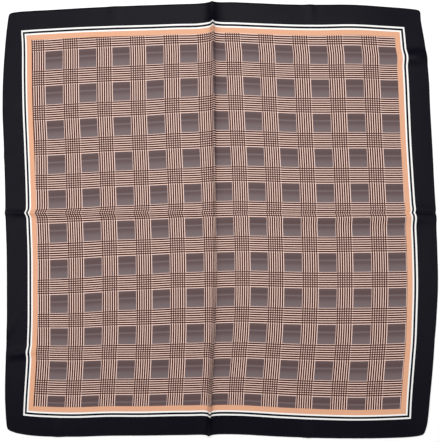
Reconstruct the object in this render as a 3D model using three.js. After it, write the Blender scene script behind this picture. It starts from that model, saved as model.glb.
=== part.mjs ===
// A large square scarf of thin printed cloth with a narrow rolled hem. It lies face up, opened out flat
// after being stored folded in quarters, so it still shows the creases of its folding.
// Millimetres. +X is to the right of the print, +Y to its top, and +Z up from the surface it lies on.
import * as THREE from 'three';

const cutSide = 900; // each side of the flat cloth, hemmed
const halfSide = cutSide / 2;
const clothThickness = 1.2;
const clothColour = 0x98817a; // the printed check, seen from a few steps away
const clothRoughness = 0.55;

// The rolled hem is a bead along the edge: how far in from the edge, and how thick it is there.
const hemBead = [
  { inFromEdge: 0, thickness: 1.5 },
  { inFromEdge: 1.6, thickness: 2.2 },
  { inFromEdge: 3.6, thickness: clothThickness },
];

// Where the two side edges lie, from the bottom corner to the top one. They bow out between the corners.
const sideEdges = [
  { up: -450, left: -440.2, right: 421.5 },
  { up: -425, left: -442.8, right: 428.3 },
  { up: -375, left: -444.8, right: 433.7 },
  { up: -300, left: -443.4, right: 440.6 },
  { up: -258, left: -441.4, right: 443.4 },
  { up: -225, left: -441.0, right: 446.2 },
  { up: -150, left: -441.1, right: 449.8 },
  { up: -75, left: -441.8, right: 448.7 },
  { up: 0, left: -444.0, right: 446.0 },
  { up: 75, left: -444.9, right: 441.9 },
  { up: 150, left: -447.3, right: 438.3 },
  { up: 225, left: -449.9, right: 434.1 },
  { up: 300, left: -448.8, right: 430.9 },
  { up: 375, left: -444.3, right: 422.9 },
  { up: 425, left: -439.5, right: 415.1 },
  { up: 450, left: -436.0, right: 413.5 },
];

// Where the bottom and top edges lie, from the left corner to the right one.
const endEdges = [
  { across: -450, bottom: -434.0, top: 426.5 },
  { across: -425, bottom: -441.8, top: 429.8 },
  { across: -375, bottom: -447.3, top: 433.0 },
  { across: -300, bottom: -448.5, top: 437.0 },
  { across: -225, bottom: -446.8, top: 440.1 },
  { across: -150, bottom: -446.2, top: 443.0 },
  { across: -75, bottom: -445.2, top: 445.6 },
  { across: -40, bottom: -445.0, top: 446.4 },
  { across: -8, bottom: -444.2, top: 448.3 },
  { across: 40, bottom: -443.5, top: 449.6 },
  { across: 75, bottom: -444.4, top: 448.3 },
  { across: 150, bottom: -448.3, top: 445.4 },
  { across: 225, bottom: -451.3, top: 444.3 },
  { across: 300, bottom: -452.2, top: 444.1 },
  { across: 375, bottom: -451.4, top: 439.9 },
  { across: 425, bottom: -448.8, top: 436.5 },
  { across: 450, bottom: -444.5, top: 433.0 },
];

// The centre fold runs from hem to hem and stands up as a ridge: where its crest lies, how high the ridge
// stands there, and how far its flanks reach before the cloth is level.
const centreFold = [
  { y: -450, crest: -23.5, rise: 8.0, leftReach: 32, rightReach: 36 },
  { y: -405, crest: -21.2, rise: 10.5, leftReach: 36, rightReach: 44 },
  { y: -330, crest: -17.0, rise: 9.5, leftReach: 36, rightReach: 44 },
  { y: -150, crest: -8.0, rise: 8.5, leftReach: 36, rightReach: 42 },
  { y: 0, crest: -8.6, rise: 8.5, leftReach: 36, rightReach: 42 },
  { y: 210, crest: -10.7, rise: 9.5, leftReach: 36, rightReach: 42 },
  { y: 330, crest: -13.2, rise: 11.5, leftReach: 36, rightReach: 44 },
  { y: 405, crest: -15.2, rise: 14.5, leftReach: 36, rightReach: 46 },
  { y: 450, crest: -16.8, rise: 9.0, leftReach: 32, rightReach: 40 },
];
const leftSharpness = 2.4; // the right flank falls away faster than the left one
const rightSharpness = 3.0;
const pinch = { rise: 3.5, leftReach: 6.5, rightReach: 4.5 }; // the crest itself, pressed together

// The cross fold is a low ridge on the left half and a soft groove between two swells on the right.
const crossFold = [
  { x: -446, ridge: 2.5, upperSwell: 0, lowerSwell: 0 },
  { x: -405, ridge: 10, upperSwell: 0, lowerSwell: 0 },
  { x: -300, ridge: 10, upperSwell: 0, lowerSwell: 0 },
  { x: -200, ridge: 6.5, upperSwell: 0, lowerSwell: 0 },
  { x: -100, ridge: 4.5, upperSwell: 0, lowerSwell: 0 },
  { x: -20, ridge: 3, upperSwell: 0, lowerSwell: 0 },
  { x: 20, ridge: 1, upperSwell: 1, lowerSwell: 1 },
  { x: 60, ridge: 0, upperSwell: 1.5, lowerSwell: 2 },
  { x: 150, ridge: 0, upperSwell: 2, lowerSwell: 3 },
  { x: 300, ridge: 0, upperSwell: 4, lowerSwell: 6 },
  { x: 405, ridge: 0, upperSwell: 4.5, lowerSwell: 8 },
  { x: 448, ridge: 0, upperSwell: 1, lowerSwell: 3 },
];
const crossFoldY = 14;
const ridgeReach = 22;
const ridgeSharpness = 2.4;
const swellOffset = 8; // from the middle of the groove to the top of each swell
const swellReach = { inner: 9, upper: 13, lower: 22 };

// Small wrinkles: both ends, the rise and the reach to each side, and where along it each is highest.
const wrinkles = [
  { fromX: 185, fromY: 446, toX: 190, toY: 392, rise: 2.0, reach: 12, peak: 0 },
  { fromX: -218, fromY: 440, toX: -213, toY: 380, rise: 1.4, reach: 18, peak: 0 },
  { fromX: -335, fromY: -449, toX: -333, toY: -395, rise: 1.8, reach: 14, peak: 0 },
  { fromX: 180, fromY: -451, toX: 178, toY: -395, rise: 2.0, reach: 14, peak: 0 },
  { fromX: -446, fromY: 130, toX: -395, toY: 138, rise: 1.5, reach: 14, peak: 0 },
  { fromX: -441, fromY: -235, toX: -410, toY: -180, rise: 2.0, reach: 14, peak: 0 },
  { fromX: -450, fromY: -284, toX: -350, toY: -262, rise: 5.5, reach: 12, peak: 0.4 },
  { fromX: 450, fromY: 336, toX: 330, toY: 334, rise: 8.0, reach: 20, peak: 0.4 },
];

// Grid lines, as plan distances. They crowd at a fold, at the two largest wrinkles and at the hem, and
// are even between them.
const linesFromCentreFold = [0, 2, 4.5, 8, 13, 20, 29, 42];
const linesFromCrossFold = [0, 4, 8, 13, 18, 25];
const linesFromHem = [42, 28, 15, ...hemBead.map((row) => row.inFromEdge).reverse()];
const upperWrinkleLines = [322, 333, 344, 355, 366];
const lowerWrinkleLines = [263, 272, 281, 290, 299];
const evenSpacing = 31;

// One column of a table at a place between its rows, read off a smooth curve through them.
function readTable(table, placeName, columnName, place) {
  const last = table.length - 1;
  const at = THREE.MathUtils.clamp(place, table[0][placeName], table[last][placeName]);
  let row = 0;
  while (row < last - 1 && table[row + 1][placeName] < at) row += 1;
  const slopeAt = (k) => {
    const before = table[Math.max(k - 1, 0)];
    const after = table[Math.min(k + 1, last)];
    return (after[columnName] - before[columnName]) / (after[placeName] - before[placeName]);
  };
  const span = table[row + 1][placeName] - table[row][placeName];
  const t = (at - table[row][placeName]) / span;
  const start = table[row][columnName] * (1 + 2 * t) * (1 - t) ** 2 + slopeAt(row) * span * t * (1 - t) ** 2;
  const end = table[row + 1][columnName] * (3 - 2 * t) * t ** 2 - slopeAt(row + 1) * span * (1 - t) * t ** 2;
  return start + end;
}

// A soft swell: 1 on its line, level there, and level again at its reach.
function swell(distance, reach) {
  const part = Math.min(Math.abs(distance) / reach, 1);
  return (1 - part ** 2) ** 2;
}

// A pressed crease: 1 at its sharp crest, falling ever more gently to level cloth at its reach.
function pressedCrease(distance, reach, sharpness) {
  const part = Math.min(Math.abs(distance) / reach, 1);
  return (1 - part) ** sharpness;
}

function centreFoldHeight(x, y) {
  const beside = x - readTable(centreFold, 'y', 'crest', y);
  const side = beside < 0 ? 'leftReach' : 'rightReach';
  const sharpness = beside < 0 ? leftSharpness : rightSharpness;
  const mound = pressedCrease(beside, readTable(centreFold, 'y', side, y), sharpness);
  const crest = pressedCrease(beside, pinch[side], 2);
  return readTable(centreFold, 'y', 'rise', y) * mound + pinch.rise * crest;
}

function crossFoldHeight(x, y) {
  const beside = y - crossFoldY;
  const ridge = readTable(crossFold, 'x', 'ridge', x) * pressedCrease(beside, ridgeReach, ridgeSharpness);
  const outward = beside > 0 ? 'upper' : 'lower';
  const fromTop = Math.abs(beside) - swellOffset;
  const reach = fromTop < 0 ? swellReach.inner : swellReach[outward];
  return ridge + readTable(crossFold, 'x', `${outward}Swell`, x) * swell(fromTop, reach);
}

function wrinkleHeight(wrinkle, x, y) {
  const run = new THREE.Vector2(wrinkle.toX - wrinkle.fromX, wrinkle.toY - wrinkle.fromY);
  const point = new THREE.Vector2(x - wrinkle.fromX, y - wrinkle.fromY);
  const along = THREE.MathUtils.clamp(point.dot(run) / run.lengthSq(), 0, 1);
  const fade = along < wrinkle.peak ? 1 - along / wrinkle.peak : (along - wrinkle.peak) / (1 - wrinkle.peak);
  const sideways = point.cross(run) / run.length();
  return wrinkle.rise * (1 - THREE.MathUtils.smoothstep(fade, 0, 1)) * swell(sideways, wrinkle.reach);
}

// How high the underside stands above the surface. It is nought on the level cloth between the folds.
function undersideHeight(x, y) {
  const heights = wrinkles.map((wrinkle) => wrinkleHeight(wrinkle, x, y));
  return Math.hypot(centreFoldHeight(x, y), crossFoldHeight(x, y)) + Math.max(...heights);
}

// The steepest slope of the underside at a point, found over one millimetre each way.
function steepness(x, y) {
  const here = undersideHeight(x, y);
  const rise = (stepX, stepY) => Math.abs(undersideHeight(x + stepX, y + stepY) - here);
  return Math.hypot(Math.max(rise(1, 0), rise(-1, 0)), Math.max(rise(0, 1), rise(0, -1)));
}

// Grid lines of one half of the cloth, as parts of the way from the fold, 0, to the hem, 1. An even line
// that would come too near one of the wrinkle's own lines is left out.
function halfLines(linesFromFold, linesAtWrinkle) {
  const evenStart = linesFromFold.at(-1);
  const evenEnd = halfSide - linesFromHem[0];
  const steps = Math.round((evenEnd - evenStart) / evenSpacing);
  const spacing = (evenEnd - evenStart) / steps;
  const even = Array.from({ length: steps - 1 }, (_, k) => evenStart + spacing * (k + 1));
  const clear = even.filter((line) => linesAtWrinkle.every((other) => Math.abs(line - other) > spacing / 3));
  const between = [...clear, ...linesAtWrinkle].sort((a, b) => a - b);
  const nearHem = linesFromHem.map((line) => halfSide - line);
  return [...linesFromFold, ...between, ...nearHem].map((distance) => distance / halfSide);
}

// Both halves together, from -1 at one hem through 0 on the fold to 1 at the other hem.
function bothHalves(nearHalf, farHalf) {
  return [...nearHalf.slice(1).map((part) => -part).reverse(), ...farHalf];
}

// The point of the cloth that lies the given parts of the way across and up, from the folds to the hems.
function layPoint(across, up) {
  const endEdge = up < 0 ? 'bottom' : 'top';
  const sideEdge = across < 0 ? 'left' : 'right';
  const endY = readTable(endEdges, 'across', endEdge, across * halfSide);
  const y = THREE.MathUtils.lerp(crossFoldY, endY, Math.abs(up));
  const sideX = readTable(sideEdges, 'up', sideEdge, up * halfSide);
  const x = THREE.MathUtils.lerp(readTable(centreFold, 'y', 'crest', y), sideX, Math.abs(across));
  return { x, y };
}

// Thickness of the cloth by its distance in from the nearest edge, with the hem's bead at the edge itself.
function thicknessAt(across, up) {
  const inFromEdge = (1 - Math.max(Math.abs(across), Math.abs(up))) * halfSide;
  const bead = hemBead.find((row) => inFromEdge < row.inFromEdge + 0.5);
  return bead ? bead.thickness : clothThickness;
}

// The sheet as one closed body: an upper and an under grid, joined all round by the edge of the hem.
function sheetGeometry() {
  const sideLines = halfLines(linesFromCentreFold, []);
  const columns = bothHalves(sideLines, sideLines);
  const lowerLines = halfLines(linesFromCrossFold, lowerWrinkleLines);
  const rows = bothHalves(lowerLines, halfLines(linesFromCrossFold, upperWrinkleLines));
  const under = [];
  const upper = [];
  for (const up of rows) {
    for (const across of columns) {
      const { x, y } = layPoint(across, up);
      const z = undersideHeight(x, y);
      const lift = thicknessAt(across, up) * Math.hypot(1, steepness(x, y));
      under.push(x, y, z);
      upper.push(x, y, z + lift);
    }
  }

  const underStart = rows.length * columns.length;
  const index = [];
  const addQuad = (a, b, c, d) => index.push(a, b, c, a, c, d);
  const at = (row, column) => row * columns.length + column;
  for (let row = 0; row < rows.length - 1; row += 1) {
    for (let column = 0; column < columns.length - 1; column += 1) {
      const corners = [at(row, column), at(row, column + 1), at(row + 1, column + 1), at(row + 1, column)];
      addQuad(...corners);
      addQuad(...corners.map((corner) => corner + underStart).reverse());
    }
  }

  const lastRow = rows.length - 1;
  const lastColumn = columns.length - 1;
  const addEdge = (from, to) => addQuad(from, from + underStart, to + underStart, to);
  for (let column = 0; column < lastColumn; column += 1) {
    addEdge(at(0, column), at(0, column + 1));
    addEdge(at(lastRow, column + 1), at(lastRow, column));
  }
  for (let row = 0; row < lastRow; row += 1) {
    addEdge(at(row + 1, 0), at(row, 0));
    addEdge(at(row, lastColumn), at(row + 1, lastColumn));
  }

  const geometry = new THREE.BufferGeometry();
  geometry.setAttribute('position', new THREE.Float32BufferAttribute([...upper, ...under], 3));
  geometry.setIndex(index);
  geometry.computeVertexNormals();
  return geometry;
}

// The origin is on the surface, under the middle of the scarf's outline.
function centreOnOrigin(geometry) {
  geometry.computeBoundingBox();
  const middle = geometry.boundingBox.getCenter(new THREE.Vector3());
  return geometry.translate(-middle.x, -middle.y, 0);
}

const clothLook = { color: clothColour, roughness: clothRoughness, metalness: 0 };
const clothMaterial = new THREE.MeshStandardMaterial(clothLook);
const scarfCloth = new THREE.Mesh(centreOnOrigin(sheetGeometry()), clothMaterial);
scarfCloth.name = 'scarf_cloth';

const scarf = new THREE.Group();
scarf.add(scarfCloth);

export default scarf;
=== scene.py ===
import math

import bpy
import numpy as np
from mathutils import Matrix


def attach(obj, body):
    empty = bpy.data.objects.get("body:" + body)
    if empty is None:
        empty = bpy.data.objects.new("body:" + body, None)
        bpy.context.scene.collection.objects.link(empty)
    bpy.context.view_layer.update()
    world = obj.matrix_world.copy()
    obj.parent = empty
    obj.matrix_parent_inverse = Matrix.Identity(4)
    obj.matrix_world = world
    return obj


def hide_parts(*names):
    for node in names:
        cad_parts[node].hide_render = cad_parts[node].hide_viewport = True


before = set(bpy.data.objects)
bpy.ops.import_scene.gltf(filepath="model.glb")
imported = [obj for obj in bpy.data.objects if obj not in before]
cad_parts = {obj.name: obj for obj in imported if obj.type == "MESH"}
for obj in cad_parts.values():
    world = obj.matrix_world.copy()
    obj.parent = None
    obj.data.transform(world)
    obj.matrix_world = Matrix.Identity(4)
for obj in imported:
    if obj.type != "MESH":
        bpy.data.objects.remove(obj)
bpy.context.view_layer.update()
mm = 0.001  # lengths below are in millimetres until they go into a mesh


def tableOf(names, rows):
    # a table with named columns, one row for each section of the cloth
    return dict(zip(names.split(), np.array(rows, float).T))


# where the side edges and the outer white line beside them lie, from the bottom corners up; up is counted
# from the cross fold, along the flat cloth
sides = tableOf("up leftEdge leftLine rightLine rightEdge", [
    (-450, -440.2, -406.7, 390.6, 421.5),
    (-425, -442.8, -405.7, 391.7, 428.3),
    (-375, -444.8, -403.4, 394.1, 433.7),
    (-300, -443.4, -398.8, 399.9, 440.6),
    (-258, -441.4, -397.0, 403.4, 443.4),
    (-225, -441.0, -395.8, 404.8, 446.2),
    (-150, -441.1, -395.6, 406.6, 449.8),
    (-75, -441.8, -396.1, 405.1, 448.7),
    (-24, -443.2, -397.9, 402.9, 446.8),
    (-9, -443.7, -398.6, 402.9, 446.8),
    (0, -444.7, -401.0, 400.9, 445.3),
    (9, -444.1, -399.1, 401.5, 445.6),
    (75, -444.9, -400.2, 397.4, 441.9),
    (150, -447.3, -403.1, 393.0, 438.3),
    (225, -449.9, -406.2, 389.8, 434.1),
    (300, -448.8, -407.4, 386.7, 430.9),
    (375, -444.3, -407.8, 381.5, 422.9),
    (425, -439.5, -410.7, 377.1, 415.1),
    (450, -436.0, -411.2, 375.1, 413.5),
])

# the same for the bottom and top edges, from the left corners across, counted from the centre fold
ends = tableOf("across bottomEdge bottomLine topLine topEdge", [
    (-450, -434.0, -399.0, 386.0, 426.5),
    (-425, -441.8, -401.2, 388.0, 429.8),
    (-375, -447.3, -405.2, 391.6, 433.0),
    (-300, -448.5, -407.4, 395.6, 437.0),
    (-225, -446.8, -405.5, 398.0, 440.1),
    (-150, -446.2, -405.4, 400.0, 443.0),
    (-75, -445.2, -403.7, 402.6, 445.6),
    (-40, -445.0, -403.5, 403.2, 446.4),
    (-8, -444.2, -402.6, 405.2, 448.3),
    (40, -443.5, -402.8, 405.8, 449.6),
    (75, -444.4, -403.6, 404.5, 448.3),
    (150, -448.3, -408.1, 401.8, 445.4),
    (225, -451.3, -411.6, 400.6, 444.3),
    (300, -452.2, -413.3, 401.5, 444.1),
    (375, -451.4, -411.4, 398.1, 439.9),
    (425, -448.8, -409.0, 395.5, 436.5),
    (450, -444.5, -408.0, 394.0, 433.0),
])

# the centre fold stands up to a sharp crest, with gentler cloth further out: where its crest lies, how high
# its mound and the pinch on it rise, and how far the mound reaches to each side
centreFold = tableOf("y crest rise pinch leftReach rightReach", [
    (-450, -23.5, 6.5, 3.0, 32, 36),
    (-405, -21.2, 7.9, 7.0, 36, 44),
    (-330, -18.6, 7.1, 8.5, 36, 44),
    (-150, -10.4, 6.4, 4.5, 36, 42),
    (0, -11.0, 6.4, 4.0, 36, 42),
    (210, -12.5, 7.1, 5.2, 36, 42),
    (330, -13.4, 8.6, 6.5, 36, 44),
    (405, -15.2, 10.9, 5.5, 36, 46),
    (450, -16.8, 7.5, 1.5, 32, 40),
])

# how sharply the mound falls from the crest to each side
mound = {"leftSharpness": 3.6, "rightSharpness": 4.2}

# right at the crest the pressed cloth stands in a narrow pinch, steepest on its right
pinch = {"leftReach": 6.0, "rightReach": 4.5, "sharpness": 1.5}

# the cross fold is a ridge on the left, highest by the border, and a groove between swells on the right
crossFold = tableOf("x ridge upperSwell lowerSwell", [
    (-446, 1.5, 0, 0),
    (-405, 5.0, 0, 0),
    (-300, 6.0, 0, 0),
    (-200, 5.0, 0, 0),
    (-100, 4.0, 0, 0),
    (-20, 3.0, 0, 0),
    (20, 1.0, 1.0, 1.0),
    (60, 0, 1.5, 2.0),
    (150, 0, 2.0, 3.0),
    (300, 0, 2.8, 4.2),
    (405, 0, 2.6, 4.4),
    (448, 0, 0.8, 1.6),
])

crossShape = {
    "y": 14.0,
    "ridgeReach": 17.0,
    "ridgeSharpness": 2.4,
    "swellOffset": 6.0,  # from the middle of the groove to the top of each swell
    "grooveReach": 5.0,
    "grooveSharpness": 1.6,
    "upperReach": 16.0,
    "lowerReach": 26.0,
}

# small wrinkles, each highest at its peak, a part of the way along it
wrinkles = tableOf("fromX fromY toX toY rise reach peak", [
    (185, 446, 190, 392, 2.0, 12, 0),
    (-218, 440, -213, 380, 1.4, 18, 0),
    (-335, -449, -333, -395, 1.8, 14, 0),
    (180, -451, 178, -395, 2.0, 14, 0),
    (-446, 130, -395, 138, 1.5, 14, 0),
    (-441, -235, -410, -180, 2.0, 14, 0),
    (-450, -284, -350, -262, 5.5, 12, 0.4),
    (450, 336, 330, 334, 8.0, 20, 0.4),
])

cloth = {
    "side": 900.0,
    "thickness": 0.8,
    "hemRadius": 1.05,  # the rolled hem is a soft cord along the edge
    "hemUneven": 0.12,  # how far its radius strays, as a part of it
    "outerLine": 42.2,  # in from the edge to the middle of the outer white line
    "cornerPull": 1.7,  # the hem draws the corners in, and rounds them over this reach
    "cornerReach": 8.5,
    "steepest": 2.0,  # on a slope the sheet is at most so many times as thick, measured upright
    "ripple": 0.28,  # the limp cloth never lies quite level
    "rippleWaves": 26,
    "rippleShortest": 70.0,
    "rippleLongest": 260.0,
    "rippleUsual": 160.0,  # a wave of this length has the usual height, and longer ones are higher
    "rippleSeed": 12,
}
halfSide = cloth["side"] / 2

# the waves of the uneven hem: length, phase and share of each
hemWaves = [(5.3, 0, 1.0), (8.9, 1.3, 1.0), (17.7, 2.1, 0.8)]

# the grid's lines: distances out from the two folds and in from the hem, and the spacing between those
grid = {
    "besideCrest": [
        0, 0.6, 1.2, 1.8, 2.4, 3, 3.7, 4.5, 5.5, 7, 9, 11, 13, 15.5, 18, 21, 24, 28, 32, 37, 42,
    ],
    "besideCross": [0, 2, 4, 6, 8, 10, 12.5, 15, 18, 21, 25],
    "besideHem": [45, 40, 35, 30, 25, 20, 15, 11, 8, 5.5, 4, 3, 2.5, 2.1, 1.7, 1.3, 0.9, 0.5, 0.2, 0],
    "spacingAcross": 6.0,
    "spacingUp": 6.2,
}


def readTable(table, place, column, at):
    # a cubic curve through the rows of one column, its slope at a row that of the two rows beside it
    x, v = table[place], table[column]
    at = np.clip(at, x[0], x[-1])
    before = np.maximum(np.arange(len(x)) - 1, 0)
    after = np.minimum(np.arange(len(x)) + 1, len(x) - 1)
    slope = (v[after] - v[before]) / (x[after] - x[before])
    row = np.clip(np.searchsorted(x, at) - 1, 0, len(x) - 2)
    span = x[row + 1] - x[row]
    t = (at - x[row]) / span
    start = v[row] * (1 + 2 * t) * (1 - t) ** 2 + slope[row] * span * t * (1 - t) ** 2
    end = v[row + 1] * (3 - 2 * t) * t ** 2 - slope[row + 1] * span * (1 - t) * t ** 2
    return start + end


def smoothStep(value, low, high):
    # nought below low, one above high, level at both
    t = np.clip((value - low) / (high - low), 0, 1)
    return t * t * (3 - 2 * t)


def swell(distance, reach):
    # one on its line, level there, and level again at its reach
    return (1 - np.clip(np.abs(distance) / reach, 0, 1) ** 2) ** 2


def pressedCrease(distance, reach, sharpness):
    # one at a sharp crest, falling ever more gently to level cloth at its reach
    return (1 - np.clip(np.abs(distance) / reach, 0, 1)) ** sharpness


def centreFoldHeight(x, y):
    # the low mound of the fold with the pinch along its crest
    beside = x - readTable(centreFold, "y", "crest", y)
    onLeft = beside < 0
    left = readTable(centreFold, "y", "leftReach", y)
    right = readTable(centreFold, "y", "rightReach", y)
    sharpness = np.where(onLeft, mound["leftSharpness"], mound["rightSharpness"])
    wide = pressedCrease(beside, np.where(onLeft, left, right), sharpness)
    narrow = np.where(onLeft, pinch["leftReach"], pinch["rightReach"])
    narrow = pressedCrease(beside, narrow, pinch["sharpness"])
    return readTable(centreFold, "y", "rise", y) * wide + readTable(centreFold, "y", "pinch", y) * narrow


def crossFoldHeight(x, y):
    # the ridge as a crease, and two level-topped swells that fall steeply to the groove and gently outward
    beside = y - crossShape["y"]
    out = np.abs(beside) - crossShape["swellOffset"]
    ridge = pressedCrease(beside, crossShape["ridgeReach"], crossShape["ridgeSharpness"])
    ridge = readTable(crossFold, "x", "ridge", x) * ridge
    upper = readTable(crossFold, "x", "upperSwell", x) * (beside > 0)
    lower = readTable(crossFold, "x", "lowerSwell", x) * (beside <= 0)
    outward = np.where(beside > 0, crossShape["upperReach"], crossShape["lowerReach"])
    groove = 1 - pressedCrease(beside, crossShape["grooveReach"], crossShape["grooveSharpness"])
    return ridge + (upper + lower) * groove * swell(np.maximum(out, 0), outward)


def wrinkleHeight(x, y):
    # the highest of the wrinkles, each a swell across its line that fades both ways from its peak
    w = {name: column[:, None, None] for name, column in wrinkles.items()}
    runX, runY = w["toX"] - w["fromX"], w["toY"] - w["fromY"]
    alongX, alongY = x - w["fromX"], y - w["fromY"]
    length = np.hypot(runX, runY)
    inward = np.clip((alongX * runX + alongY * runY) / length ** 2, 0, 1)
    sideways = (alongX * runY - alongY * runX) / length
    beforePeak = inward < w["peak"]
    toPeak = np.where(w["peak"] > 0, w["peak"], 1)
    fade = np.abs(inward - w["peak"]) / np.where(beforePeak, toPeak, 1 - w["peak"])
    return (w["rise"] * (1 - smoothStep(fade, 0, 1)) * swell(sideways, w["reach"])).max(0)


def rippleHeight(x, y):
    # a sum of long, low waves in all directions, lifted so that its lowest place is the surface
    draw = np.random.default_rng(cloth["rippleSeed"])
    count = cloth["rippleWaves"]
    heading = draw.uniform(0, math.pi, count)[:, None, None]
    wavelength = draw.uniform(cloth["rippleShortest"], cloth["rippleLongest"], count)[:, None, None]
    phase = draw.uniform(0, 2 * math.pi, count)[:, None, None]
    along = x * np.cos(heading) + y * np.sin(heading)
    waves = np.sin(2 * math.pi * along / wavelength + phase) * wavelength / cloth["rippleUsual"]
    total = waves.sum(0) * cloth["ripple"] / math.sqrt(count / 2)
    return total - total.min()


def halfLines(besideFold, spacing):
    # grid lines of one half, crowded at the fold and at the hem, as parts of the way from fold to hem
    nearFold, hem = np.array(besideFold), np.array(grid["besideHem"])
    steps = round((halfSide - hem[0] - nearFold[-1]) / spacing)
    even = np.linspace(nearFold[-1], halfSide - hem[0], steps + 1)[:-1]
    return np.concatenate([nearFold[:-1], even, halfSide - hem]) / halfSide


def layCloth():
    # every grid point lies its parts of the way from the two folds out to the edges, and by a corner a little
    # nearer to the folds
    side = halfLines(grid["besideCrest"], grid["spacingAcross"])
    upward = halfLines(grid["besideCross"], grid["spacingUp"])
    across = np.concatenate([-side[:0:-1], side])[None, :]
    up = np.concatenate([-upward[:0:-1], upward])[:, None]
    across, up = np.broadcast_arrays(across, up)
    bottom = readTable(ends, "across", "bottomEdge", across * halfSide)
    top = readTable(ends, "across", "topEdge", across * halfSide)
    middle = crossShape["y"]
    y = middle + (np.where(up < 0, bottom, top) - middle) * np.abs(up)
    crest = readTable(centreFold, "y", "crest", y)
    leftEdge = readTable(sides, "up", "leftEdge", up * halfSide)
    rightEdge = readTable(sides, "up", "rightEdge", up * halfSide)
    x = crest + (np.where(across < 0, leftEdge, rightEdge) - crest) * np.abs(across)
    besideSide = np.clip(1 - (1 - np.abs(across)) * halfSide / cloth["cornerReach"], 0, 1)
    besideEnd = np.clip(1 - (1 - np.abs(up)) * halfSide / cloth["cornerReach"], 0, 1)
    pull = cloth["cornerPull"] * (besideSide * besideEnd) ** 2
    return across, up, x - np.sign(across) * pull, y - np.sign(up) * pull


def clothPlace(distance, length, nearMargin, farMargin):
    # distance along the laid cloth to distance on the flat print, by way of the two outer white lines
    line = cloth["outerLine"]
    farLine = length - farMargin
    near = -halfSide + distance / nearMargin * line
    middle = line - halfSide + (distance - nearMargin) / (farLine - nearMargin) * (cloth["side"] - 2 * line)
    far = halfSide - (length - distance) / farMargin * line
    return np.where(distance < nearMargin, near, np.where(distance < farLine, middle, far))


def printPlaces(across, up, x, y, z):
    # how far across and up the flat print each point lies, following the cloth over its folds
    stepX = np.hypot(np.diff(x, axis=1), np.diff(z, axis=1))
    alongX = np.pad(np.cumsum(stepX, axis=1), ((0, 0), (1, 0)))
    stepY = np.hypot(np.diff(y, axis=0), np.diff(z, axis=0))
    alongY = np.pad(np.cumsum(stepY, axis=0), ((1, 0), (0, 0)))
    upAt, acrossAt = up * halfSide, across * halfSide
    nearX = readTable(sides, "up", "leftLine", upAt) - readTable(sides, "up", "leftEdge", upAt)
    farX = readTable(sides, "up", "rightEdge", upAt) - readTable(sides, "up", "rightLine", upAt)
    nearY = readTable(ends, "across", "bottomLine", acrossAt) - y[:1]
    farY = y[-1:] - readTable(ends, "across", "topLine", acrossAt)
    printX = clothPlace(alongX, alongX[:, -1:], nearX, farX)
    printY = clothPlace(alongY, alongY[-1:], nearY, farY)
    return printX, printY


# the check: repeats of a glen plaid, set a little out of square with the border
check = {
    "firstColumn": -341.7,  # middle of the first grey square, across the flat print
    "firstRow": 345.8,
    "repeatAcross": 71.2,
    "repeatDown": 73.0,
    "threadsAcross": 240,
    "threadsDown": 248,
    "wideFromAcross": 180,  # thread on which the wide stripes begin, counted from between two squares
    "wideFromDown": 190,
    "wideThreads": 114,
    "firstLight": 3.2,  # light threads before the first dark stripe
    "stripe": 15.85,  # threads in a dark stripe and the light one after it
    "darkPart": 10.2,
    "crossedDark": 8.5,  # the same where stripes lie over stripes
    "lastLight": 110.5,  # the last light stripe runs on from here to the square
    "halfLight": 0.09,  # where a light stripe crosses a dark one
    "drift": 3.8,  # from here on, how far the print was pulled out of true, in millimetres
    "driftRight": 2.2,
    "driftLeft": 4.2,
    "crestPull": 2.4,
    "rowRise": 3.5,
    "rowBulge": 6.0,
    "rowBow": 2.8,
    "rowDip": 5.5,
    "lowerTilt": 2.5,
    "lowerRise": 1.0,
    "topDip": 2.8,
    "upperLift": 2.2,
}

# where over the cloth those pulls set in and fade out, counted from its middle: across to the right, and up
# or, where the pull is read downwards, down; a pair is where the change begins and where it is complete
zones = {
    "repeats": 5,  # a place of one is so many repeats of the check from the middle
    "leftFrom": 0.3,
    "driftRightStart": (0, 0.12),
    "driftRightDown": (-0.4, 0.05),
    "driftLeftStart": (-0.5, -0.2),
    "driftLeftEnd": (0.5, 0.8),
    "crestStart": (-0.03, 0.01),
    "crestEnd": (0.05, 0.4),
    "rowRiseLimit": 1.2,
    "rowBowEnd": (0.35, 0.75),
    "rowDipStart": (0, 0.3),
    "rowDipEnd": (0.45, 0.75),
    "lowerStart": (0.5, 0.9),
    "topDipFrom": -0.4,
    "topDipStart": (0.72, 0.95),
    "upperLiftStart": (0.35, 0.6),
    "upperLiftEnd": (0.78, 0.92),
    "upperLiftWidth": 0.45,
}


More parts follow.
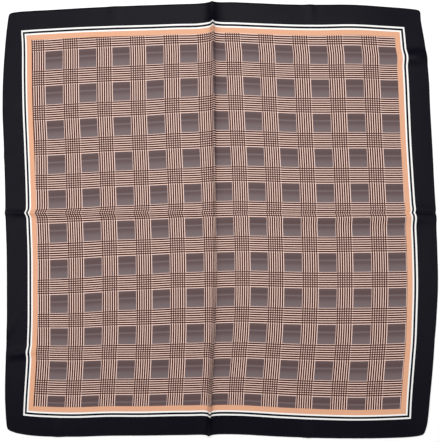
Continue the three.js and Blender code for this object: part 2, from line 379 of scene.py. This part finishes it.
def checkPlaces(printX, printY):
    # places counted in repeats of the check, whole numbers at the middles of the grey squares; the columns
    # lean and the rows bow a little, as spread and rise go from -1 to 1 over the cloth
    spread = printX / (zones["repeats"] * check["repeatAcross"])
    rise = printY / (zones["repeats"] * check["repeatDown"])
    arch = np.clip(1 - spread ** 2, 0, 1)
    onLeft = np.clip(-spread - zones["leftFrom"], 0, 1)
    onRight = np.clip(spread, 0, 1)

    toRight = smoothStep(spread, *zones["driftRightStart"]) * smoothStep(-rise, *zones["driftRightDown"])
    midway = smoothStep(-rise, *zones["driftLeftStart"]) - smoothStep(-rise, *zones["driftLeftEnd"])
    besideCrest = smoothStep(spread, *zones["crestStart"]) * (1 - smoothStep(spread, *zones["crestEnd"]))
    columns = printX + check["drift"] * arch + check["driftRight"] * toRight
    columns += check["driftLeft"] * onLeft ** 2 * midway - check["crestPull"] * besideCrest

    rows = printY - check["rowRise"] * np.clip(spread, -zones["rowRiseLimit"], zones["rowRiseLimit"])
    rows -= check["rowBulge"] * onRight * np.clip(1 - rise ** 2, 0, 1)
    rows -= check["rowBow"] * arch * (1 - smoothStep(-rise, *zones["rowBowEnd"]))
    dipping = smoothStep(-rise, *zones["rowDipStart"]) - smoothStep(-rise, *zones["rowDipEnd"])
    rows += check["rowDip"] * onLeft * dipping
    rows += (check["lowerTilt"] * spread - check["lowerRise"]) * smoothStep(-rise, *zones["lowerStart"])
    rightOfDip = np.clip(spread - zones["topDipFrom"], 0, 1)
    rows += check["topDip"] * rightOfDip * smoothStep(rise, *zones["topDipStart"])
    lifted = smoothStep(rise, *zones["upperLiftStart"]) * (1 - smoothStep(rise, *zones["upperLiftEnd"]))
    rows -= check["upperLift"] * np.clip(1 - (spread / zones["upperLiftWidth"]) ** 2, 0, 1) * lifted
    across = (columns - check["firstColumn"]) / check["repeatAcross"]
    down = (check["firstRow"] - rows) / check["repeatDown"]
    return across, down


def hemProfile(inFromEdge, around):
    # upper and under side of the rolled hem: a round cord of uneven radius that ends on the level cloth
    uneven = sum(share * np.sin(around / length + phase) for length, phase, share in hemWaves)
    shares = sum(share for length, phase, share in hemWaves)
    radius = cloth["hemRadius"] * (1 + cloth["hemUneven"] * uneven / shares)
    half = np.sqrt(np.clip(radius ** 2 - (inFromEdge - radius) ** 2, 0, None))
    upper = np.where(inFromEdge < 2 * radius, radius + half, 0)
    under = np.where(inFromEdge < radius, radius - half, 0)
    return np.maximum(upper, np.where(inFromEdge < radius, 0, cloth["thickness"])), under


def steepness(height, x, y):
    # slope of a height laid on the grid, across the cloth and up it
    least = 0.001  # keeps two points in one place from a division by nought
    alongX = np.gradient(height, axis=1) / np.maximum(np.abs(np.gradient(x, axis=1)), least)
    alongY = np.gradient(height, axis=0) / np.maximum(np.abs(np.gradient(y, axis=0)), least)
    return np.hypot(alongX, alongY)


def gridFaces(rows, columns):
    # corners of the squares between the grid's points, anticlockwise from above
    point = np.arange(rows * columns).reshape(rows, columns)
    corners = [point[:-1, :-1], point[:-1, 1:], point[1:, 1:], point[1:, :-1]]
    return point, np.stack(corners, -1).reshape(-1, 4)


def makeScarf():
    # one closed sheet: an upper and an under grid on the height of the folds, joined round the rim
    across, up, x, y = layCloth()
    folds = np.hypot(centreFoldHeight(x, y), crossFoldHeight(x, y)) + wrinkleHeight(x, y)
    edgeIn = (1 - np.maximum(np.abs(across), np.abs(up))) * halfSide
    around = np.where(np.abs(across) > np.abs(up), up, across) * halfSide
    base = folds + rippleHeight(x, y)
    upper, under = hemProfile(edgeIn, around)
    upper = base + upper * np.clip(np.hypot(1, steepness(folds, x, y)), 1, cloth["steepest"])
    under = base + under
    printX, printY = printPlaces(across, up, x, y, folds)
    middleX, middleY = (x.min() + x.max()) / 2, (y.min() + y.max()) / 2
    sheets = [np.stack([x - middleX, y - middleY, z], -1).reshape(-1, 3) for z in (upper, under)]

    rows, columns = x.shape
    point, faces = gridFaces(rows, columns)
    rim = np.concatenate([point[0], point[1:, -1], point[-1, -2::-1], point[-2:0:-1, 0]])
    onward = np.roll(rim, -1)
    below = rows * columns
    rimFaces = np.stack([rim, rim + below, onward + below, onward], -1)
    allFaces = np.concatenate([faces, faces[:, ::-1] + below, rimFaces])
    mesh = bpy.data.meshes.new("scarf")
    mesh.from_pydata(np.concatenate(sheets) * mm, [], allFaces)
    mesh.polygons.foreach_set("use_smooth", np.ones(len(allFaces), bool))
    reverse = np.zeros(len(allFaces), np.int32)
    reverse[len(faces):2 * len(faces)] = 1
    mesh.polygons.foreach_set("material_index", reverse)

    corner = np.empty(len(mesh.loops), np.int32)
    mesh.loops.foreach_get("vertex_index", corner)
    checkAcross, checkDown = checkPlaces(printX, printY)
    flatPrint = np.stack([printX, printY], -1).reshape(-1, 2) / cloth["side"] + 0.5
    checkRepeats = np.stack([checkAcross, checkDown], -1).reshape(-1, 2)
    for name, places in (("print", flatPrint), ("check", checkRepeats)):
        layer = mesh.uv_layers.new(name=name)
        layer.uv.foreach_set("vector", places[corner % below].astype(np.float32).ravel())
    scarf = bpy.data.objects.new("scarf", mesh)
    bpy.context.scene.collection.objects.link(scarf)
    print("scarf laid:", len(allFaces), "faces")
    return scarf


class Wire:
    # one socket of a node; arithmetic and comparisons on it add Math nodes
    def __init__(self, shader, socket):
        self.shader = shader
        self.socket = socket

    def maths(self, operation, *values):
        # a Math node on the values, each a number or another wire
        sockets = {k: value for k, value in enumerate(values)}
        return self.shader.add("ShaderNodeMath", {"operation": operation}, sockets)

    def __add__(self, other):
        return self.maths("ADD", self, other)

    def __radd__(self, other):
        return self.maths("ADD", other, self)

    def __sub__(self, other):
        return self.maths("SUBTRACT", self, other)

    def __rsub__(self, other):
        return self.maths("SUBTRACT", other, self)

    def __mul__(self, other):
        return self.maths("MULTIPLY", self, other)

    def __rmul__(self, other):
        return self.maths("MULTIPLY", other, self)

    def __mod__(self, other):
        return self.maths("FLOORED_MODULO", self, other)

    def __lt__(self, other):
        return self.maths("LESS_THAN", self, other)

    def __gt__(self, other):
        return self.maths("GREATER_THAN", self, other)

    def __abs__(self):
        return self.maths("ABSOLUTE", self)

    def floor(self):
        return self.maths("FLOOR", self)

    def most(self, other):
        return self.maths("MAXIMUM", self, other)

    def least(self, other):
        return self.maths("MINIMUM", self, other)


class Shader:
    # a material's node tree, filled one node at a time
    def __init__(self, name):
        self.material = bpy.data.materials.new(name)
        self.material.use_nodes = True
        self.tree = self.material.node_tree
        self.tree.nodes.clear()

    def add(self, kind, settings=None, sockets=None, output=0):
        # one node: its settings first, then the values or links of its sockets
        node = self.tree.nodes.new(kind)
        for key, value in (settings or {}).items():
            if key == "stops":
                self.setStops(node.color_ramp, value)
            else:
                setattr(node, key, value)
        for key, value in (sockets or {}).items():
            if isinstance(value, Wire):
                self.tree.links.new(value.socket, node.inputs[key])
            else:
                node.inputs[key].default_value = value
        return Wire(self, node.outputs[output]) if node.outputs else node

    def setStops(self, ramp, stops):
        # grey shades at their places along a ramp
        while len(ramp.elements) < len(stops):
            ramp.elements.new(1.0)
        for element, (place, shade) in zip(ramp.elements, stops):
            element.position = place
            element.color = (shade, shade, shade, 1)

    def mix(self, part, under, over):
        # a colour between two, by part; a Mix node's colours are its inputs 6 and 7 and its output 2
        return self.add("ShaderNodeMix", {"data_type": "RGBA"}, {0: part, 6: under, 7: over}, output=2)

    def places(self, uvName):
        # how far across and up a point lies in one of the cloth's own maps
        spot = self.add("ShaderNodeUVMap", {"uv_map": uvName})
        axes = self.add("ShaderNodeSeparateXYZ", sockets={0: spot})
        return axes, Wire(self, axes.socket.node.outputs[1])


# the print's colours, linear; the reverse shows the same print gone a part of the way to its own colour
inks = {
    "cream": (1.0, 0.72, 0.625, 1),
    "dark": (0.046, 0.006, 0.002, 1),
    "squareGrey": (0.196, 0.150, 0.156, 1),
    "black": (0.0040, 0.0036, 0.0078, 1),
    "white": (0.98, 0.97, 0.95, 1),
    "tan": (0.78, 0.41, 0.255, 1),
    "reverse": (0.55, 0.48, 0.46, 1),
}

# the border's bands, as distances in from the edge; on the left they lie a little closer together
bands = {"white1": 40.3, "gap": 43.7, "white2": 47.9, "tan": 51.2, "check": 62.2, "leftCloser": 0.08}

# brightness of a grey square from its top to its bottom, by part of the repeat
squareShade = [
    (0.24, 0.60),
    (0.34, 0.47),
    (0.40, 0.50),
    (0.43, 0.95),
    (0.475, 0.54),
    (0.53, 0.62),
    (0.60, 0.84),
    (0.72, 0.98),
]

twill = {
    "roughness": 0.40,
    "specular": 0.08,
    "weave": 4,  # threads in a repeat of the weave, half of them up
    "paintedThreadShade": 0.12,  # painted shade: how much darker a thread is drawn at its edges than along its middle, for the shadow in the gaps between threads
    "overRelief": 0.6,  # how high a thread that lies over the others stands, and how round it is
    "roundRelief": 0.4,
    "bumpHeight": 0.10,
    "bumpStrength": 0.5,
    "reverseFade": 0.35,
}


def stripedPart(place, threads, wideFrom):
    # for threads one way: whether this one is in the wide stripes, whether it is light there, whether it is
    # light over the other stripes, its number
    thread = (place + 0.5) % 1 * threads
    fromWide = (thread - wideFrom) % threads
    wide = fromWide < check["wideThreads"]
    inStripe = (fromWide - check["firstLight"]).least(check["lastLight"]) % check["stripe"]
    return wide, inStripe > check["darkPart"], inStripe > check["crossedDark"], place * threads


def checkInk(shader):
    # a glen plaid: stripes alone stay solid, stripes over stripes are dark, half light or light as neither,
    # one or both are light, and the squares between them are grey, shaded from top to bottom
    across, down = shader.places("check")
    wideA, lightA, crossedA, threadA = stripedPart(across, check["threadsAcross"], check["wideFromAcross"])
    wideD, lightD, crossedD, threadD = stripedPart(down, check["threadsDown"], check["wideFromDown"])
    crossed = crossedA * crossedD + abs(crossedA - crossedD) * check["halfLight"]
    stripes = wideA * (1 - wideD) * lightA + wideD * (1 - wideA) * lightD
    square = (1 - wideA) * (1 - wideD)
    light = stripes + wideA * wideD * crossed + square
    acrossUp = (threadA.floor() + threadD.floor()) % twill["weave"] < twill["weave"] / 2
    roundA = abs(threadA % 1 * 2 - 1)
    roundD = abs(threadD % 1 * 2 - 1)
    edge = roundD + acrossUp * (roundA - roundD)
    shade = shader.add("ShaderNodeValToRGB", {"stops": squareShade}, {0: (down + 0.5) % 1})
    cream = shader.mix(square, inks["cream"], inks["squareGrey"])
    # each thread is darkened towards its edges by painted shade, standing in for the shadow between threads
    strength = light * (1 - twill["paintedThreadShade"] * edge) * (1 + square * (shade - 1))
    return shader.mix(strength, inks["dark"], cream), acrossUp, edge


def makePrint(name, faded):
    # the check inside the tan line, the white lines and the border, each where the edge is less far off
    shader = Shader(name)
    printX, printY = shader.places("print")
    fromMiddleX = abs(printX - 0.5) * cloth["side"]
    fromMiddleY = abs(printY - 0.5) * cloth["side"]
    edgeIn = halfSide - fromMiddleX.most(fromMiddleY)
    onLeft = (printX < 0.5) * (fromMiddleX > fromMiddleY) * (edgeIn > bands["white1"])
    edgeIn = edgeIn + onLeft * (edgeIn - bands["white1"]) * bands["leftCloser"]
    colour, acrossUp, edge = checkInk(shader)
    colour = shader.mix(edgeIn < bands["check"], colour, inks["tan"])
    colour = shader.mix(edgeIn < bands["tan"], colour, inks["white"])
    colour = shader.mix(edgeIn < bands["white2"], colour, inks["black"])
    colour = shader.mix(edgeIn < bands["gap"], colour, inks["white"])
    colour = shader.mix(edgeIn < bands["white1"], colour, inks["black"])
    if faded:
        colour = shader.mix(faded, colour, inks["reverse"])
    relief = acrossUp * twill["overRelief"] + (1 - edge) * twill["roundRelief"]
    bump = shader.add("ShaderNodeBump", sockets={
        "Strength": twill["bumpStrength"],
        "Distance": twill["bumpHeight"] * mm,
        "Height": relief,
    })
    finish = shader.add("ShaderNodeBsdfPrincipled", sockets={
        "Base Color": colour,
        "Roughness": twill["roughness"],
        "Specular IOR Level": twill["specular"],
        "Normal": bump,
    })
    shader.add("ShaderNodeOutputMaterial", sockets={"Surface": finish})
    return shader.material


# in metres, as the lamps are
studio = {
    "cameraHeight": 1.25,
    "pictureHeight": 0.9149,  # what the picture's long side takes in, at the surface
    "sensorWidth": 36,
    "offCentre": (-0.0004, -0.0014),  # the camera stands so far beside the middle of the cloth
    "floorSide": 8.0,
    "floorDepth": 0.0004,  # just under the scarf
    "floorShade": (0.94, 0.94, 0.94, 1),
    "floorRoughness": 0.9,
    "floorGlow": 0.16,
    "world": 0.12,
}

# soft lights over the scarf: place, side of the square panel and power
lamps = {
    "keyLight": {"at": (-0.10, 0.62, 1.90), "side": 1.5, "power": 36.5},
    "leftLight": {"at": (-1.05, -0.30, 1.45), "side": 0.6, "power": 5.6},
    "rightLight": {"at": (0.95, -0.35, 1.45), "side": 0.5, "power": 4.0},
}


def floorMaterial():
    # matt and near white, with a faint glow that keeps shadows light
    shader = Shader("paleFloor")
    finish = shader.add("ShaderNodeBsdfPrincipled", sockets={
        "Base Color": studio["floorShade"],
        "Roughness": studio["floorRoughness"],
        "Specular IOR Level": 0.0,
        "Emission Color": (1, 1, 1, 1),
        "Emission Strength": studio["floorGlow"],
    })
    shader.add("ShaderNodeOutputMaterial", sockets={"Surface": finish})
    return shader.material


def addStudio():
    # a level square floor, an even pale room, the lamps aimed at the scarf, and a camera straight above it
    half, low = studio["floorSide"] / 2, -studio["floorDepth"]
    ground = bpy.data.meshes.new("floor")
    corners = [(-half, -half, low), (half, -half, low), (half, half, low), (-half, half, low)]
    ground.from_pydata(corners, [], [(0, 1, 2, 3)])
    ground.materials.append(floorMaterial())
    floor = bpy.data.objects.new("floor", ground)
    bpy.context.scene.collection.objects.link(floor)

    world = bpy.data.worlds.new("paleRoom")
    world.use_nodes = True
    world.node_tree.nodes["Background"].inputs[0].default_value = (1, 1, 1, 1)
    world.node_tree.nodes["Background"].inputs[1].default_value = studio["world"]
    bpy.context.scene.world = world

    for name, lamp in lamps.items():
        data = bpy.data.lights.new(name, "AREA")
        data.shape = "SQUARE"
        data.size = lamp["side"]
        data.energy = lamp["power"]
        light = bpy.data.objects.new(name, data)
        light.location = lamp["at"]
        aim = -light.location.normalized()
        light.rotation_euler = aim.to_track_quat("-Z", "Y").to_euler()
        bpy.context.scene.collection.objects.link(light)

    view = bpy.data.cameras.new("camera")
    view.sensor_width = studio["sensorWidth"]
    view.lens = studio["sensorWidth"] * studio["cameraHeight"] / studio["pictureHeight"]
    camera = bpy.data.objects.new("camera", view)
    camera.location = (*studio["offCentre"], studio["cameraHeight"])
    bpy.context.scene.collection.objects.link(camera)
    bpy.context.scene.camera = camera
    bpy.context.scene.view_settings.view_transform = "Standard"


addStudio()
print("studio ready")
scarf = makeScarf()
scarf.data.materials.append(makePrint("scarfPrint", 0))
scarf.data.materials.append(makePrint("scarfReverse", twill["reverseFade"]))
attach(scarf, "root")
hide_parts("scarf_cloth")
print("print finished")
